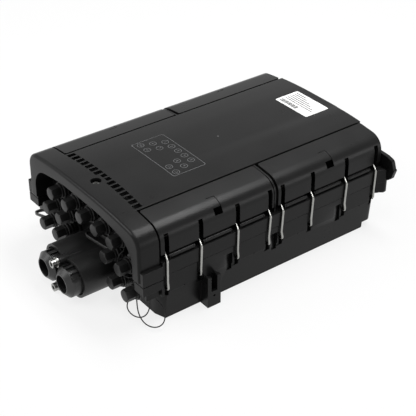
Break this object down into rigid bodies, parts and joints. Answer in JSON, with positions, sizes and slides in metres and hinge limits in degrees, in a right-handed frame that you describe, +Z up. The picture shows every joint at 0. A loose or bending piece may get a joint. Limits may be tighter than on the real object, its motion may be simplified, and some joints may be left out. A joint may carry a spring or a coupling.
{
  "type": "fibre distribution hub box",
  "caption": "Flat weatherproof fibre hub box with capped ports under a hood, an oval cable gland and wire-bail latch levers along both long sides.",
  "frame": {"origin": "centre of the flat back face that the box lies on, midway between the side walls", "axes": "+X to the right seen from the ports, +Y from the ports to the rear end, +Z up out of the lid"},
  "size_m": [0.2756, 0.4111, 0.1282],
  "materials": {
    "housing_plastic": "fine satin grain",
    "lever_plastic": "satin",
    "spring_steel": "bright drawn wire",
    "cap_plastic": "satin",
    "adapter_plastic": "satin",
    "strap_rubber": "matte",
    "seal_rubber": "matte",
    "gland_plastic": "satin",
    "zinc_steel": "bright zinc",
    "tray_plastic": "satin",
    "cover_plastic": "smooth",
    "splitter_metal": "satin",
    "splice_sleeve_plastic": "smooth",
    "label_film": "paper-like film"
  },
  "bodies": {
    "housing": {"base_shell": "housing_plastic", "lid_shell": "housing_plastic", "latch_pivot_pins": "spring_steel", "port_adapter_01": "adapter_plastic", "port_adapter_02": "adapter_plastic", "port_adapter_03": "adapter_plastic", "port_adapter_04": "adapter_plastic", "port_adapter_05": "adapter_plastic", "port_adapter_06": "adapter_plastic", "port_adapter_07": "adapter_plastic", "port_adapter_08": "adapter_plastic", "port_adapter_09": "adapter_plastic", "port_adapter_10": "adapter_plastic", "port_adapter_11": "adapter_plastic", "port_adapter_12": "adapter_plastic", "port_adapter_13": "adapter_plastic", "adapter_nuts": "adapter_plastic", "cap_straps_top": "strap_rubber", "cap_straps_middle": "strap_rubber", "cap_straps_bottom": "strap_rubber", "cap_lanyard_near": "strap_rubber", "cap_lanyard_far": "strap_rubber", "cap_lanyard_upper": "strap_rubber", "lid_gasket": "seal_rubber", "gland_seal": "seal_rubber", "gland_sleeve": "gland_plastic", "gland_plug": "gland_plastic", "gland_bolts": "zinc_steel", "gland_washers": "zinc_steel", "gland_clamp_plate": "zinc_steel", "lid_screw": "zinc_steel", "rear_lug_screws": "zinc_steel", "splice_tray": "tray_plastic", "splice_holder": "tray_plastic", "splice_tray_cover": "cover_plastic", "splitter_module": "splitter_metal", "splice_sleeves": "splice_sleeve_plastic", "label": "label_film"},
    "lever_right_front": {"latch_lever_right_front": "lever_plastic"},
    "bails_right_front": {"latch_wires_right_front": "spring_steel"},
    "lever_left_front": {"latch_lever_left_front": "lever_plastic"},
    "bails_left_front": {"latch_wires_left_front": "spring_steel"},
    "lever_right_rear": {"latch_lever_right_rear": "lever_plastic"},
    "bails_right_rear": {"latch_wires_right_rear": "spring_steel"},
    "lever_left_rear": {"latch_lever_left_rear": "lever_plastic"},
    "bails_left_rear": {"latch_wires_left_rear": "spring_steel"},
    "cap_01": {"dust_cap_01": "cap_plastic"},
    "cap_02": {"dust_cap_02": "cap_plastic"},
    "cap_03": {"dust_cap_03": "cap_plastic"},
    "cap_04": {"dust_cap_04": "cap_plastic"},
    "cap_05": {"dust_cap_05": "cap_plastic"},
    "cap_06": {"dust_cap_06": "cap_plastic"},
    "cap_07": {"dust_cap_07": "cap_plastic"},
    "cap_08": {"dust_cap_08": "cap_plastic"},
    "cap_09": {"dust_cap_09": "cap_plastic"},
    "cap_10": {"dust_cap_10": "cap_plastic"},
    "cap_11": {"dust_cap_11": "cap_plastic"},
    "cap_12": {"dust_cap_12": "cap_plastic"},
    "cap_13": {"dust_cap_13": "cap_plastic"}
  },
  "joints": [
    {"name": "lever_right_front_hinge", "type": "hinge", "parent": "housing", "child": "lever_right_front", "pos_m": [0.1168, -0.0763, 0.0832], "axis": [0, 1, 0], "range_deg": [0, 90]},
    {"name": "bails_right_front_hinge", "type": "hinge", "parent": "lever_right_front", "child": "bails_right_front", "pos_m": [0.107, -0.0763, 0.104], "axis": [0, 1, 0], "range_deg": [-90, 0]},
    {"name": "lever_left_front_hinge", "type": "hinge", "parent": "housing", "child": "lever_left_front", "pos_m": [-0.1168, -0.0763, 0.0832], "axis": [0, -1, 0], "range_deg": [0, 90]},
    {"name": "bails_left_front_hinge", "type": "hinge", "parent": "lever_left_front", "child": "bails_left_front", "pos_m": [-0.107, -0.0763, 0.104], "axis": [0, -1, 0], "range_deg": [-90, 0]},
    {"name": "lever_right_rear_hinge", "type": "hinge", "parent": "housing", "child": "lever_right_rear", "pos_m": [0.1168, 0.092, 0.0832], "axis": [0, 1, 0], "range_deg": [0, 90]},
    {"name": "bails_right_rear_hinge", "type": "hinge", "parent": "lever_right_rear", "child": "bails_right_rear", "pos_m": [0.107, 0.092, 0.104], "axis": [0, 1, 0], "range_deg": [-90, 0]},
    {"name": "lever_left_rear_hinge", "type": "hinge", "parent": "housing", "child": "lever_left_rear", "pos_m": [-0.1168, 0.092, 0.0832], "axis": [0, -1, 0], "range_deg": [0, 90]},
    {"name": "bails_left_rear_hinge", "type": "hinge", "parent": "lever_left_rear", "child": "bails_left_rear", "pos_m": [-0.107, 0.092, 0.104], "axis": [0, -1, 0], "range_deg": [-90, 0]},
    {"name": "cap_01_turn", "type": "hinge", "parent": "housing", "child": "cap_01", "pos_m": [-0.0637, -0.178, 0.0877], "axis": [0, -1, 0], "range_deg": [0, 90]},
    {"name": "cap_02_turn", "type": "hinge", "parent": "housing", "child": "cap_02", "pos_m": [-0.0317, -0.178, 0.0877], "axis": [0, -1, 0], "range_deg": [0, 90]},
    {"name": "cap_03_turn", "type": "hinge", "parent": "housing", "child": "cap_03", "pos_m": [0, -0.178, 0.0877], "axis": [0, -1, 0], "range_deg": [0, 90]},
    {"name": "cap_04_turn", "type": "hinge", "parent": "housing", "child": "cap_04", "pos_m": [0.0317, -0.178, 0.0877], "axis": [0, -1, 0], "range_deg": [0, 90]},
    {"name": "cap_05_turn", "type": "hinge", "parent": "housing", "child": "cap_05", "pos_m": [0.0637, -0.178, 0.0877], "axis": [0, -1, 0], "range_deg": [0, 90]},
    {"name": "cap_06_turn", "type": "hinge", "parent": "housing", "child": "cap_06", "pos_m": [-0.0779, -0.178, 0.0604], "axis": [0, -1, 0], "range_deg": [0, 90]},
    {"name": "cap_07_turn", "type": "hinge", "parent": "housing", "child": "cap_07", "pos_m": [-0.0486, -0.178, 0.0604], "axis": [0, -1, 0], "range_deg": [0, 90]},
    {"name": "cap_08_turn", "type": "hinge", "parent": "housing", "child": "cap_08", "pos_m": [0.0486, -0.178, 0.0604], "axis": [0, -1, 0], "range_deg": [0, 90]},
    {"name": "cap_09_turn", "type": "hinge", "parent": "housing", "child": "cap_09", "pos_m": [0.0779, -0.178, 0.0604], "axis": [0, -1, 0], "range_deg": [0, 90]},
    {"name": "cap_10_turn", "type": "hinge", "parent": "housing", "child": "cap_10", "pos_m": [-0.0899, -0.178, 0.0314], "axis": [0, -1, 0], "range_deg": [0, 90]},
    {"name": "cap_11_turn", "type": "hinge", "parent": "housing", "child": "cap_11", "pos_m": [-0.0604, -0.178, 0.0314], "axis": [0, -1, 0], "range_deg": [0, 90]},
    {"name": "cap_12_turn", "type": "hinge", "parent": "housing", "child": "cap_12", "pos_m": [0.0604, -0.178, 0.0314], "axis": [0, -1, 0], "range_deg": [0, 90]},
    {"name": "cap_13_turn", "type": "hinge", "parent": "housing", "child": "cap_13", "pos_m": [0.0899, -0.178, 0.0314], "axis": [0, -1, 0], "range_deg": [0, 90]}
  ],
  "couplings": [
    {"joint": "bails_right_front_hinge", "follows": "lever_right_front_hinge", "ratio": -1},
    {"joint": "bails_left_front_hinge", "follows": "lever_left_front_hinge", "ratio": -1},
    {"joint": "bails_right_rear_hinge", "follows": "lever_right_rear_hinge", "ratio": -1},
    {"joint": "bails_left_rear_hinge", "follows": "lever_left_rear_hinge", "ratio": -1}
  ]
}
